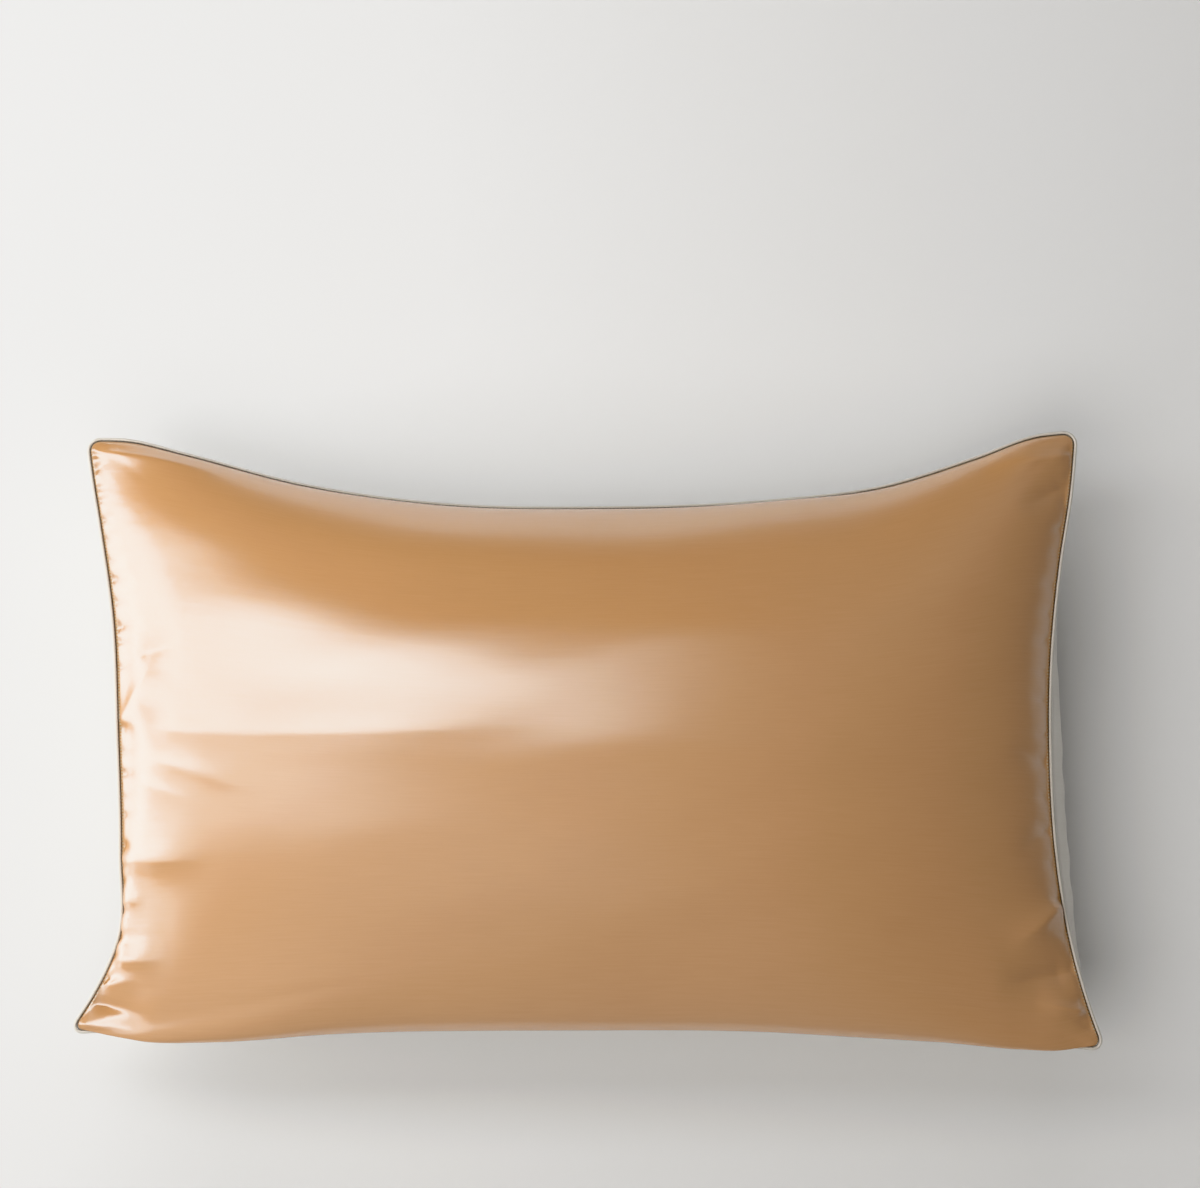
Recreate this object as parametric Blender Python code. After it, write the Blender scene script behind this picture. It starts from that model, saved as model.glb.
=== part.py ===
"""Filled pillowcase lying on its back: a plump satin front, an off-white back panel and a
piped seam. The corners stand out as thin ears, the sides are drawn in between them, and
the front hangs over the seam along one long side.

X runs along the length, Y from the heavy long side to the light one, Z out of the front.
"""

import math

import bpy
import numpy as np

# Height of the seam above the floor, and of the front's crown above the seam.
SEAM_HEIGHT = 0.085
CROWN = 0.101
# Fullness of the crown: a higher power has a flatter middle and steeper sides.
FULLNESS = 2.2
# Share of the crown above which the back lies flat on the floor, and how fast it gets there.
FLAT_FROM = 0.86
BACK_EASE = 1.35

# Corners of the piped seam, before they are rounded.
CORNERS = {
    "low_left": (-0.3630, -0.2035),
    "low_right": (0.3585, -0.2155),
    "high_left": (-0.3600, 0.2165),
    "high_right": (0.3480, 0.2220),
}
CORNER_RADIUS = 0.010
HALF_LENGTH = 0.355
HALF_WIDTH = 0.212

# How far each side is drawn in from the straight line between its corners.
# Columns: share of the side, inset.
LOW_SIDE = [
    (0.00, 0.000),
    (0.06, 0.003),
    (0.15, 0.010),
    (0.30, 0.019),
    (0.50, 0.023),
    (0.70, 0.023),
    (0.84, 0.014),
    (0.94, 0.004),
    (1.00, 0.000),
]
HIGH_SIDE = [
    (0.00, 0.000),
    (0.04, 0.001),
    (0.10, 0.0115),
    (0.22, 0.0345),
    (0.35, 0.0485),
    (0.52, 0.0525),
    (0.70, 0.048),
    (0.80, 0.0395),
    (0.90, 0.018),
    (0.96, 0.003),
    (1.00, 0.000),
]
LEFT_SIDE = [
    (0.00, 0.000),
    (0.07, 0.018),
    (0.15, 0.032),
    (0.30, 0.032),
    (0.50, 0.0275),
    (0.70, 0.0215),
    (0.85, 0.011),
    (0.94, 0.004),
    (1.00, 0.000),
]
RIGHT_SIDE = [
    (0.00, 0.000),
    (0.06, 0.009),
    (0.18, 0.022),
    (0.32, 0.0295),
    (0.46, 0.0305),
    (0.62, 0.0265),
    (0.78, 0.0165),
    (0.90, 0.006),
    (1.00, 0.000),
]

# How far the filling pushes the cloth out past the seam, peaking near it.
# Columns: share of the side, swell.
BELLY_FRONT = [
    (0.00, 0.000),
    (0.03, 0.012),
    (0.06, 0.0185),
    (0.12, 0.0235),
    (0.25, 0.025),
    (0.50, 0.0255),
    (0.75, 0.0245),
    (0.84, 0.021),
    (0.92, 0.017),
    (0.97, 0.011),
    (1.00, 0.000),
]
BELLY_BACK = [
    (0.00, 0.000),
    (0.10, 0.007),
    (0.30, 0.014),
    (0.70, 0.014),
    (0.90, 0.007),
    (1.00, 0.000),
]
RIGHT_BACK = [
    (0.00, 0.000),
    (0.08, 0.008),
    (0.15, 0.014),
    (0.25, 0.0195),
    (0.37, 0.0225),
    (0.57, 0.019),
    (0.75, 0.010),
    (0.90, 0.003),
    (1.00, 0.000),
]
BELLY_REACH = 0.05
RIGHT_REACH = 0.03
# How far the seam is rolled towards the front along the right side.
RIGHT_LIFT = [(0.00, 0.0), (0.20, 0.006), (0.40, 0.010), (0.70, 0.006), (1.00, 0.0)]

# Folds and puckers of the front. Columns: start x, start y, heading, length, width, height.
# A fold runs from its start along its heading; a negative height is a trough.
FOLDS = [
    # Upper left ear and the drawn side below it.
    (-0.352, 0.206, -17, 0.110, 0.0095, 0.0060),
    (-0.350, 0.186, -30, 0.080, 0.0090, 0.0045),
    (-0.348, 0.162, -16, 0.060, 0.0085, 0.0050),
    (-0.345, 0.138, -12, 0.050, 0.0085, 0.0050),
    (-0.342, 0.112, -8, 0.055, 0.0085, 0.0055),
    (-0.338, 0.084, -5, 0.050, 0.0085, 0.0050),
    # Deep pucker half way down the left side, and the long soft creases that leave it.
    (-0.335, 0.045, 14, 0.060, 0.0085, -0.0090),
    (-0.333, 0.025, 0, 0.190, 0.0105, 0.0070),
    (-0.331, -0.001, -1, 0.110, 0.0095, 0.0050),
    (-0.331, -0.024, -17, 0.160, 0.0115, 0.0070),
    (-0.329, -0.056, -14, 0.065, 0.0085, 0.0050),
    (-0.329, -0.083, -8, 0.055, 0.0085, 0.0050),
    (-0.329, -0.110, 4, 0.055, 0.0085, 0.0055),
    (-0.331, -0.137, 16, 0.070, 0.0090, 0.0065),
    # Creased lower left ear.
    (-0.341, -0.166, -10, 0.075, 0.0085, 0.0065),
    (-0.350, -0.188, -4, 0.080, 0.0075, -0.0045),
    # Right side, from its upper ear down.
    (0.340, 0.203, 205, 0.090, 0.0095, 0.0050),
    (0.337, 0.163, 193, 0.060, 0.0085, 0.0045),
    (0.331, 0.112, 185, 0.065, 0.0095, 0.0045),
    (0.326, 0.055, 180, 0.055, 0.0090, 0.0040),
    (0.325, -0.005, 176, 0.060, 0.0090, 0.0040),
    (0.326, -0.062, 172, 0.055, 0.0090, 0.0045),
    (0.332, -0.112, 158, 0.085, 0.0100, 0.0070),
    (0.341, -0.157, 168, 0.075, 0.0090, 0.0055),
    (0.350, -0.190, 176, 0.070, 0.0080, -0.0040),
]
FOLD_RISE = 0.012

# Thickness of the back cloth and the piping, and how far the panels' edges stay inside it.
CLOTH = 0.0015
CORD_RADIUS = 0.0015
GAP = 0.0003
FRONT_EDGE = (0.0021, 0.0010)
UNDER_EDGE = (0.0034, -0.0004)
BACK_INNER_EDGE = (0.0016, -0.0016)
BACK_OUTER_EDGE = (0.0011, -0.0030)

# Grid of the front; the underside and the back panel have half as many cells each way.
FRONT_CELLS = (44, 72)
BACK_CELLS = (22, 36)
EVEN_COLUMNS = 0.05
EVEN_ROWS = 0.55

GOLD = (0.604, 0.352, 0.174, 1.0)
OFF_WHITE = (0.800, 0.780, 0.735, 1.0)
SILVER = (0.640, 0.600, 0.545, 1.0)


def smooth_value(table, at):
    """Second column of the table at each place in its first, on a curve through its rows."""
    knots, values = np.array(table).T
    slopes = np.gradient(values, knots)
    row = np.clip(np.searchsorted(knots, at) - 1, 0, len(knots) - 2)
    step = knots[row + 1] - knots[row]
    part = (at - knots[row]) / step
    start = (1 + 2 * part) * (1 - part) ** 2 * values[row]
    end = part**2 * (3 - 2 * part) * values[row + 1]
    bend = part * (1 - part) * step * ((1 - part) * slopes[row] - part * slopes[row + 1])
    return start + end + bend


def spaced(cells, even):
    """Grid lines from -1 to 1, closer together towards both ends."""
    line = np.linspace(-1, 1, cells + 1)
    return even * line + (1 - even) * np.sin(line * math.pi / 2)


def rounded(u, v, edge):
    """The square -1..1 drawn in by edge, with its corners brought to quarter circles."""
    radius = CORNER_RADIUS - edge
    x = np.abs(u) * (HALF_LENGTH - edge)
    y = np.abs(v) * (HALF_WIDTH - edge)
    start_x = HALF_LENGTH - CORNER_RADIUS
    start_y = HALF_WIDTH - CORNER_RADIUS
    p = (x - start_x) / radius
    q = (y - start_y) / radius
    corner = (p > 0) & (q > 0)
    round_p = p * np.sqrt(np.clip(1 - q**2 / 2, 0, 1))
    round_q = q * np.sqrt(np.clip(1 - p**2 / 2, 0, 1))
    x = np.where(corner, start_x + radius * round_p, x)
    y = np.where(corner, start_y + radius * round_q, y)
    return np.sign(u) * x / HALF_LENGTH, np.sign(v) * y / HALF_WIDTH


def side_point(first, last, table, share, inward):
    """Point of a side: the straight line between its corners, drawn inwards by the table."""
    inset = smooth_value(table, share)
    start = np.array(CORNERS[first])
    end = np.array(CORNERS[last])
    line = start + share[..., None] * (end - start)
    return line + inset[..., None] * np.array(inward)


def outline_point(u, v, edge):
    """Place in the XY plane of a point of the panel, between its four drawn-in sides."""
    u, v = rounded(u, v, edge)
    along = (u + 1) / 2
    across = (v + 1) / 2
    low = side_point("low_left", "low_right", LOW_SIDE, along, (0, 1))
    high = side_point("high_left", "high_right", HIGH_SIDE, along, (0, -1))
    left = side_point("low_left", "high_left", LEFT_SIDE, across, (1, 0))
    right = side_point("low_right", "high_right", RIGHT_SIDE, across, (-1, 0))
    a = along[..., None]
    b = across[..., None]
    corners = (
        (1 - a) * (1 - b) * np.array(CORNERS["low_left"])
        + a * (1 - b) * np.array(CORNERS["low_right"])
        + (1 - a) * b * np.array(CORNERS["high_left"])
        + a * b * np.array(CORNERS["high_right"])
    )
    return (1 - b) * low + b * high + (1 - a) * left + a * right - corners


def crown_share(u, v):
    """1 at the middle of the pillow and 0 along its seam."""
    lengthways = np.clip(1 - np.abs(u) ** FULLNESS, 0, 1)
    crossways = np.clip(1 - np.abs(v) ** FULLNESS, 0, 1)
    return np.sqrt(lengthways * crossways)


def swell(distance, reach):
    """Bulge beside a seam: 0 on it, 1 at the reach, and fading out past it."""
    return distance / reach * np.exp(1 - distance / reach)


def seam_height(u, v):
    lift = smooth_value(RIGHT_LIFT, (v + 1) / 2)
    return SEAM_HEIGHT + lift * np.clip(u, 0, 1) ** 6


def fold_height(x, y, edge_distance):
    """Total height of the folds at a place of the front, fading out to the seam."""
    total = np.zeros_like(x)
    for start_x, start_y, heading, length, width, height in FOLDS:
        angle = math.radians(heading)
        along = (x - start_x) * math.cos(angle) + (y - start_y) * math.sin(angle)
        across = (y - start_y) * math.cos(angle) - (x - start_x) * math.sin(angle)
        fade = np.clip(1 - along / length, 0, 1) * (along > -width)
        spread = width * (1 + np.clip(along / length, 0, 1))
        total += height * fade * np.exp(-((across / spread) ** 2))
    return total * np.clip(edge_distance / FOLD_RISE, 0, 1) ** 0.5


def grid(cells):
    columns = spaced(cells[0], EVEN_COLUMNS)
    rows = spaced(cells[1], EVEN_ROWS)
    return np.meshgrid(columns, rows, indexing="ij")


def grid_normals(points):
    """Unit normal of a grid of points at each of them."""
    along = np.gradient(points, axis=0)
    across = np.gradient(points, axis=1)
    normals = np.cross(along, across)
    return normals / np.linalg.norm(normals, axis=-1, keepdims=True)


def is_rim(shape):
    """Mask of the points on the rim of a grid."""
    rim = np.ones(shape, bool)
    rim[1:-1, 1:-1] = False
    return rim


def edge_points(u, v, edge):
    """Points of a panel's edge: drawn in from the piping's middle, and above or below it."""
    plan = outline_point(u, v, edge[0])
    return np.dstack([plan, seam_height(u, v) + edge[1]])


def front_surface():
    u, v = grid(FRONT_CELLS)
    points = edge_points(u, v, FRONT_EDGE)
    points[..., 2] += CROWN * crown_share(u, v)
    along = (u + 1) / 2
    points[..., 1] -= smooth_value(BELLY_FRONT, along) * swell(1 + v, BELLY_REACH)
    from_side = np.minimum((1 - np.abs(u)) * HALF_LENGTH, (1 - np.abs(v)) * HALF_WIDTH)
    height = fold_height(points[..., 0], points[..., 1], from_side)
    return points + height[..., None] * grid_normals(points) * ~is_rim(u.shape)[..., None]


def back_surface():
    """Outside of the back panel, which lies flat on the floor under the crown."""
    u, v = grid(BACK_CELLS)
    points = edge_points(u, v, BACK_OUTER_EDGE)
    share = np.clip(1 - crown_share(u, v) / FLAT_FROM, 0, 1)
    points[..., 2] *= share**BACK_EASE
    along = (u + 1) / 2
    across = (v + 1) / 2
    points[..., 1] -= smooth_value(BELLY_BACK, along) * swell(1 + v, BELLY_REACH)
    points[..., 0] += smooth_value(RIGHT_BACK, across) * swell(1 - u, RIGHT_REACH)
    return points


def inside_of(surface, depth, edge):
    """The surface moved up into the pillow by depth, with its rim at the given edge."""
    u, v = grid(BACK_CELLS)
    moved = surface + depth * grid_normals(surface)
    rim = is_rim(u.shape)
    moved[rim] = edge_points(u, v, edge)[rim]
    return moved


def rim_cells(cells):
    """Grid places around the rim, anticlockwise from the low left corner."""
    columns, rows = cells
    low = [(i, 0) for i in range(columns)]
    right = [(columns, j) for j in range(rows)]
    high = [(i, rows) for i in range(columns, 0, -1)]
    left = [(0, j) for j in range(rows, 0, -1)]
    return low + right + high + left


def sheet_faces(cells, first, up):
    """Quads of a grid whose points start at index first, facing up or down."""
    columns, rows = cells
    faces = []
    for i in range(columns):
        for j in range(rows):
            a = first + i * (rows + 1) + j
            b = a + rows + 1
            quad = (a, b, b + 1, a + 1)
            faces.append(quad if up else (a, a + 1, b + 1, b))
    return faces


def rim_indices(cells, first):
    return [first + i * (cells[1] + 1) + j for i, j in rim_cells(cells)]


def add_object(name, points, faces, colour, roughness):
    mesh = bpy.data.meshes.new(name)
    mesh.from_pydata([tuple(point) for point in points], [], faces)
    mesh.shade_smooth()
    piece = bpy.data.objects.new(name, mesh)
    bpy.context.scene.collection.objects.link(piece)
    mesh.materials.append(make_material(name, colour, roughness))
    return piece


def make_material(name, colour, roughness):
    material = bpy.data.materials.new(name)
    material.use_nodes = True
    shader = material.node_tree.nodes["Principled BSDF"]
    shader.inputs["Base Color"].default_value = colour
    shader.inputs["Roughness"].default_value = roughness
    shader.inputs["Metallic"].default_value = 0.0
    return material


def build_front(back):
    """The front panel and the filling behind it, as one solid down to the back panel."""
    front = front_surface().reshape(-1, 3)
    under = inside_of(back, CLOTH + GAP, UNDER_EDGE).reshape(-1, 3)
    faces = sheet_faces(FRONT_CELLS, 0, True)
    faces += sheet_faces(BACK_CELLS, len(front), False)
    upper = rim_indices(FRONT_CELLS, 0)
    lower = rim_indices(BACK_CELLS, len(front))
    for k, low in enumerate(lower):
        low_next = lower[(k + 1) % len(lower)]
        start = upper[2 * k]
        middle = upper[2 * k + 1]
        end = upper[(2 * k + 2) % len(upper)]
        faces.append((start, low, middle))
        faces.append((middle, low, low_next))
        faces.append((middle, low_next, end))
    return add_object("filled_front", np.vstack([front, under]), faces, GOLD, 0.34)


def build_back(back):
    """The back panel as a sheet of its own thickness, edge to edge under the seam."""
    outer = back.reshape(-1, 3)
    inner = inside_of(back, CLOTH, BACK_INNER_EDGE).reshape(-1, 3)
    faces = sheet_faces(BACK_CELLS, 0, False)
    faces += sheet_faces(BACK_CELLS, len(outer), True)
    low = rim_indices(BACK_CELLS, 0)
    high = rim_indices(BACK_CELLS, len(outer))
    for k, corner in enumerate(low):
        following = (k + 1) % len(low)
        faces.append((corner, low[following], high[following], high[k]))
    return add_object("back_panel", np.vstack([outer, inner]), faces, OFF_WHITE, 0.45)


def build_piping():
    """Round cord in its own cloth, all the way round the seam."""
    u, v = grid(BACK_CELLS)
    points = edge_points(u, v, (0.0, 0.0))
    curve = bpy.data.curves.new("piping", "CURVE")
    curve.dimensions = "3D"
    curve.bevel_depth = CORD_RADIUS
    curve.bevel_resolution = 1
    route = [points[i, j] for i, j in rim_cells(BACK_CELLS)]
    spline = curve.splines.new("POLY")
    spline.points.add(len(route) - 1)
    for target, place in zip(spline.points, route):
        target.co = (*place, 1.0)
    spline.use_cyclic_u = True
    spline.use_smooth = True
    piece = bpy.data.objects.new("piping", curve)
    bpy.context.scene.collection.objects.link(piece)
    curve.materials.append(make_material("piping", SILVER, 0.40))
    return piece


def centre_over_origin(pieces):
    """Moves the pieces together so that their common box is centred over the origin."""
    bpy.context.view_layer.update()
    corners = np.array([corner[:] for piece in pieces for corner in piece.bound_box])
    middle = (corners.min(axis=0) + corners.max(axis=0)) / 2
    for piece in pieces:
        piece.location.x -= middle[0]
        piece.location.y -= middle[1]


for startup in list(bpy.data.objects):
    bpy.data.objects.remove(startup)

back_outside = back_surface()
centre_over_origin([build_front(back_outside), build_back(back_outside), build_piping()])
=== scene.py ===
"""Looks of a filled pillowcase: satin front, light back panel, piped seam, floor, light, camera."""

import math

import bpy
import numpy as np
from mathutils import Matrix, Vector


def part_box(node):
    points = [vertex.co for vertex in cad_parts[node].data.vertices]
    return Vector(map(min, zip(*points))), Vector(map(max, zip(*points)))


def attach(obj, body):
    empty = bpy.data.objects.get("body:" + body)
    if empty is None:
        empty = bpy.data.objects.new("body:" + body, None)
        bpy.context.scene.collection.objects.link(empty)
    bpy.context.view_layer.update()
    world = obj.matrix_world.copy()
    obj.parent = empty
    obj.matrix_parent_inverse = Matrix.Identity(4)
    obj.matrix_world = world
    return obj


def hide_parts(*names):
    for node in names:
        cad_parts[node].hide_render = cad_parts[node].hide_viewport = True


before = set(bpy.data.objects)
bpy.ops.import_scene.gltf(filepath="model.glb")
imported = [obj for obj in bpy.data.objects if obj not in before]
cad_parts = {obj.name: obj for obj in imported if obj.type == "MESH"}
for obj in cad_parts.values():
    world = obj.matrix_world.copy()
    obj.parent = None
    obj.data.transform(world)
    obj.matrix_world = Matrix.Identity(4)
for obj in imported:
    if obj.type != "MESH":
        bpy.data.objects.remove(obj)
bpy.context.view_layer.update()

# ---------------------------------------------------------------- sizes of the pillow, metres
# The cut of each panel, and the form that the filling gives it.
CUT = (0.74, 0.48)
SEAM_HEIGHT = 0.085
CROWN = 0.101
FULLNESS = 2.2
FLAT_FROM = 0.86
BACK_EASE = 1.35

CORNERS = {
    "low_left": (-0.3630, -0.2035),
    "low_right": (0.3585, -0.2155),
    "high_left": (-0.3600, 0.2165),
    "high_right": (0.3480, 0.2220),
}
CORNER_RADIUS = 0.010
HALF_LENGTH = 0.355
HALF_WIDTH = 0.212

# Columns: share of the side, inset from the straight line between its corners.
LOW_SIDE = [
    (0.00, 0.000),
    (0.06, 0.003),
    (0.15, 0.010),
    (0.30, 0.019),
    (0.50, 0.023),
    (0.70, 0.023),
    (0.84, 0.014),
    (0.94, 0.004),
    (1.00, 0.000),
]
HIGH_SIDE = [
    (0.00, 0.000),
    (0.04, 0.001),
    (0.10, 0.0115),
    (0.22, 0.0345),
    (0.35, 0.0485),
    (0.52, 0.0525),
    (0.70, 0.048),
    (0.80, 0.0395),
    (0.90, 0.018),
    (0.96, 0.003),
    (1.00, 0.000),
]
LEFT_SIDE = [
    (0.00, 0.000),
    (0.07, 0.018),
    (0.15, 0.032),
    (0.30, 0.032),
    (0.50, 0.0275),
    (0.70, 0.0215),
    (0.85, 0.011),
    (0.94, 0.004),
    (1.00, 0.000),
]
RIGHT_SIDE = [
    (0.00, 0.000),
    (0.06, 0.009),
    (0.18, 0.022),
    (0.32, 0.0295),
    (0.46, 0.0305),
    (0.62, 0.0265),
    (0.78, 0.0165),
    (0.90, 0.006),
    (1.00, 0.000),
]

# Columns: share of the side, how far the filling pushes the cloth out past the seam.
BELLY_FRONT = [
    (0.00, 0.000),
    (0.03, 0.012),
    (0.06, 0.0185),
    (0.12, 0.0235),
    (0.25, 0.025),
    (0.50, 0.0255),
    (0.75, 0.0245),
    (0.84, 0.021),
    (0.92, 0.017),
    (0.97, 0.011),
    (1.00, 0.000),
]
BELLY_BACK = [
    (0.00, 0.000),
    (0.10, 0.007),
    (0.30, 0.014),
    (0.70, 0.014),
    (0.90, 0.007),
    (1.00, 0.000),
]
RIGHT_BACK = [
    (0.00, 0.000),
    (0.08, 0.008),
    (0.15, 0.014),
    (0.25, 0.0195),
    (0.37, 0.0225),
    (0.57, 0.019),
    (0.75, 0.010),
    (0.90, 0.003),
    (1.00, 0.000),
]
BELLY_REACH = 0.05
RIGHT_REACH = 0.03
RIGHT_LIFT = [(0.00, 0.0), (0.20, 0.006), (0.40, 0.010), (0.70, 0.006), (1.00, 0.0)]

# Folds of the front, pressed in one by one. Columns: start x, start y, end x, end y, sideways bow,
# width on the left of the line, width on its right, height (a trough where it is negative).
FOLDS = [
    (-0.3516, 0.2049, -0.2590, 0.1847, 0.0000, 0.0050, 0.0085, 0.0030),
    (-0.3291, 0.0074, -0.3014, 0.0480, 0.0000, 0.0080, 0.0240, 0.0044),
    (-0.3150, 0.0556, -0.2817, 0.0616, 0.0000, 0.0160, 0.0080, -0.0018),
    (-0.2952, 0.0008, -0.2216, -0.0049, 0.0000, 0.0180, 0.0120, 0.0014),
    (-0.2623, -0.0049, 0.0083, 0.0003, -0.0021, 0.0180, 0.0120, 0.0008),
    (-0.2998, -0.0202, -0.2188, -0.0422, -0.0014, 0.0120, 0.0090, 0.0014),
    (-0.3220, -0.0314, -0.2598, -0.0537, 0.0000, 0.0080, 0.0100, 0.0010),
    (-0.3264, -0.0880, -0.2616, -0.0884, -0.0014, 0.0180, 0.0080, 0.0032),
    (-0.3243, -0.1172, -0.3071, -0.1159, 0.0000, 0.0140, 0.0060, 0.0018),
    (-0.3282, -0.1571, -0.2912, -0.1552, -0.0014, 0.0200, 0.0080, 0.0030),
    (-0.3376, -0.1741, -0.3126, -0.1707, 0.0000, 0.0080, 0.0045, 0.0016),
    (-0.3463, -0.1848, -0.3022, -0.1979, 0.0000, 0.0100, 0.0085, -0.0048),
    (-0.3556, -0.2011, -0.3170, -0.2059, 0.0000, 0.0060, 0.0035, 0.0024),
    (0.3302, -0.1175, 0.2910, -0.1519, 0.0000, 0.0110, 0.0110, 0.0042),
    (0.3450, -0.1932, 0.3116, -0.1868, 0.0000, 0.0050, 0.0060, 0.0038),
    (0.3363, -0.1652, 0.2831, -0.1748, 0.0000, 0.0110, 0.0100, -0.0042),
    (0.3458, 0.2014, 0.2812, 0.1887, 0.0000, 0.0070, 0.0090, 0.0032),
    (0.3434, 0.1796, 0.3040, 0.1594, 0.0000, 0.0100, 0.0100, -0.0028),
    (0.3230, -0.0182, 0.2910, -0.0086, 0.0000, 0.0090, 0.0080, -0.0014),
    (0.3245, -0.0675, 0.2948, -0.0824, 0.0000, 0.0090, 0.0080, -0.0014),
]

# Small gathers where the short sides are drawn in by the seam.
# Columns: v on the seam, half width, length, depth, slope of the gather across its length.
LEFT_GATHERS = [
    (0.955, 0.0022, 0.0069, 0.0014, -0.2),
    (0.897, 0.0024, 0.0058, 0.0016, 0.5),
    (0.835, 0.0018, 0.0043, 0.0011, 0.0),
    (0.790, 0.0018, 0.0049, 0.0010, 0.1),
    (0.725, 0.0022, 0.0058, 0.0013, 0.0),
    (0.656, 0.0022, 0.0058, 0.0010, 0.1),
    (0.584, 0.0022, 0.0058, 0.0010, 0.0),
    (0.522, 0.0034, 0.0095, 0.0017, -0.2),
    (0.443, 0.0026, 0.0080, 0.0013, 0.0),
    (0.354, 0.0036, 0.0100, 0.0018, 0.2),
    (0.306, 0.0022, 0.0069, 0.0014, 0.0),
    (0.220, 0.0022, 0.0058, 0.0014, 0.0),
    (0.017, 0.0036, 0.0090, 0.0024, 0.0),
    (-0.069, 0.0026, 0.0058, 0.0014, 0.0),
    (-0.138, 0.0032, 0.0095, 0.0017, -0.2),
    (-0.216, 0.0022, 0.0049, 0.0010, 0.0),
    (-0.278, 0.0022, 0.0054, 0.0013, 0.0),
    (-0.381, 0.0034, 0.0073, 0.0024, -0.3),
    (-0.450, 0.0022, 0.0058, 0.0011, 0.0),
    (-0.505, 0.0026, 0.0058, 0.0013, 0.2),
    (-0.600, 0.0026, 0.0058, 0.0013, 0.0),
    (-0.684, 0.0034, 0.0073, 0.0022, -0.3),
    (-0.750, 0.0022, 0.0058, 0.0011, 0.0),
    (-0.828, 0.0026, 0.0069, 0.0022, 0.3),
]
RIGHT_GATHERS = [
    (0.940, 0.0024, 0.0069, 0.0011, 0.0),
    (0.860, 0.0026, 0.0058, 0.0010, 0.2),
    (0.770, 0.0022, 0.0058, 0.0008, 0.0),
    (0.680, 0.0028, 0.0069, 0.0011, -0.2),
    (0.600, 0.0022, 0.0058, 0.0008, 0.0),
    (0.490, 0.0030, 0.0073, 0.0013, 0.2),
    (0.400, 0.0024, 0.0058, 0.0010, 0.0),
    (0.310, 0.0026, 0.0069, 0.0011, -0.1),
    (0.200, 0.0024, 0.0058, 0.0010, 0.0),
    (0.110, 0.0030, 0.0073, 0.0013, 0.2),
    (0.000, 0.0024, 0.0058, 0.0010, 0.0),
    (-0.090, 0.0028, 0.0069, 0.0011, -0.2),
    (-0.200, 0.0024, 0.0058, 0.0010, 0.0),
    (-0.310, 0.0030, 0.0073, 0.0013, 0.2),
    (-0.420, 0.0026, 0.0058, 0.0010, 0.0),
    (-0.530, 0.0028, 0.0069, 0.0013, -0.1),
    (-0.640, 0.0026, 0.0058, 0.0010, 0.0),
    (-0.750, 0.0030, 0.0078, 0.0014, 0.2),
    (-0.850, 0.0028, 0.0069, 0.0016, 0.0),
    (-0.930, 0.0026, 0.0058, 0.0014, 0.2),
]
SEAM_RISE = 0.0018

# Where the front sags out over the left seam, as the share of that side from its low corner,
# and how gently the front rises from its short seams (0 is a full round edge).
LEFT_LOBE = [
    (0.00, 0.000),
    (0.06, 0.000),
    (0.11, 0.0015),
    (0.18, 0.0035),
    (0.25, 0.0020),
    (0.31, 0.000),
    (1.00, 0.000),
]
LOBE_REACH = 0.02
END_SOFTNESS = 0.25

# How far the cord lies outside the seam line, then each panel's edge: inset from the seam
# line and height over it.
CORD_OUT = 0.0005
CORD_RADIUS = 0.0011
FRONT_EDGE = (0.0009, -0.0003)
BACK_EDGE = (0.0001, -0.0010)
BACK_CLOTH = 0.0008
UNDERSIDE_GAP = 0.0025

# Cells of each panel's grid, and how evenly they lie: 1 is even, 0 is closest at the ends.
FRONT_CELLS = (130, 168)
FRONT_EVEN = (0.42, 0.80)
BACK_CELLS = (190, 150)
BACK_EVEN = (0.45, 0.75)

# Height and reach of the back's puckers along its seams, and of the pulls at its corners.
BACK_PUCKERS = (0.0011, 0.014)
CORNER_PULLS = (0.0016, 0.045)

# The cord's grid: steps along each side of the seam, and round the cord.
SEAM_STEPS = 300
CORD_STEPS = 12

# How long the front is simulated, the share of the gathers that it starts with, and what is kept
# of its creases: everywhere, what is added by the short seams, and how far in that reaches.
SIM_FRAMES = 45
GATHER_START = 0.6
CREASES_KEPT = 0.20
CREASES_BY_SEAM = 0.55
CREASE_REACH = 0.020
SMOOTHING_ROUNDS = 60

# Rings of the front's underside, as shares of the way from the middle to the seam.
UNDERSIDE_RINGS = (0.997, 0.991, 0.982, 0.96, 0.92, 0.85, 0.74, 0.55, 0.02)

# The satin's floats and the ties between them, and the stitches of the seam.
FLOAT_LENGTH = 0.0016
FLOAT_PITCH = 0.00034
TIE_WIDTH = 0.00005
STITCH_LENGTH = 0.0026

FLOOR_SIZE = 12


# ---------------------------------------------------------------- form
def smooth_value(table, at):
    """Second column of the table at each place in its first, on a curve through its rows."""
    knots, values = np.array(table).T
    slopes = np.gradient(values, knots)
    row = np.clip(np.searchsorted(knots, at) - 1, 0, len(knots) - 2)
    step = knots[row + 1] - knots[row]
    part = (at - knots[row]) / step
    start = (1 + 2 * part) * (1 - part) ** 2 * values[row]
    end = part**2 * (3 - 2 * part) * values[row + 1]
    bend = part * (1 - part) * step * ((1 - part) * slopes[row] - part * slopes[row + 1])
    return start + end + bend


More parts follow.
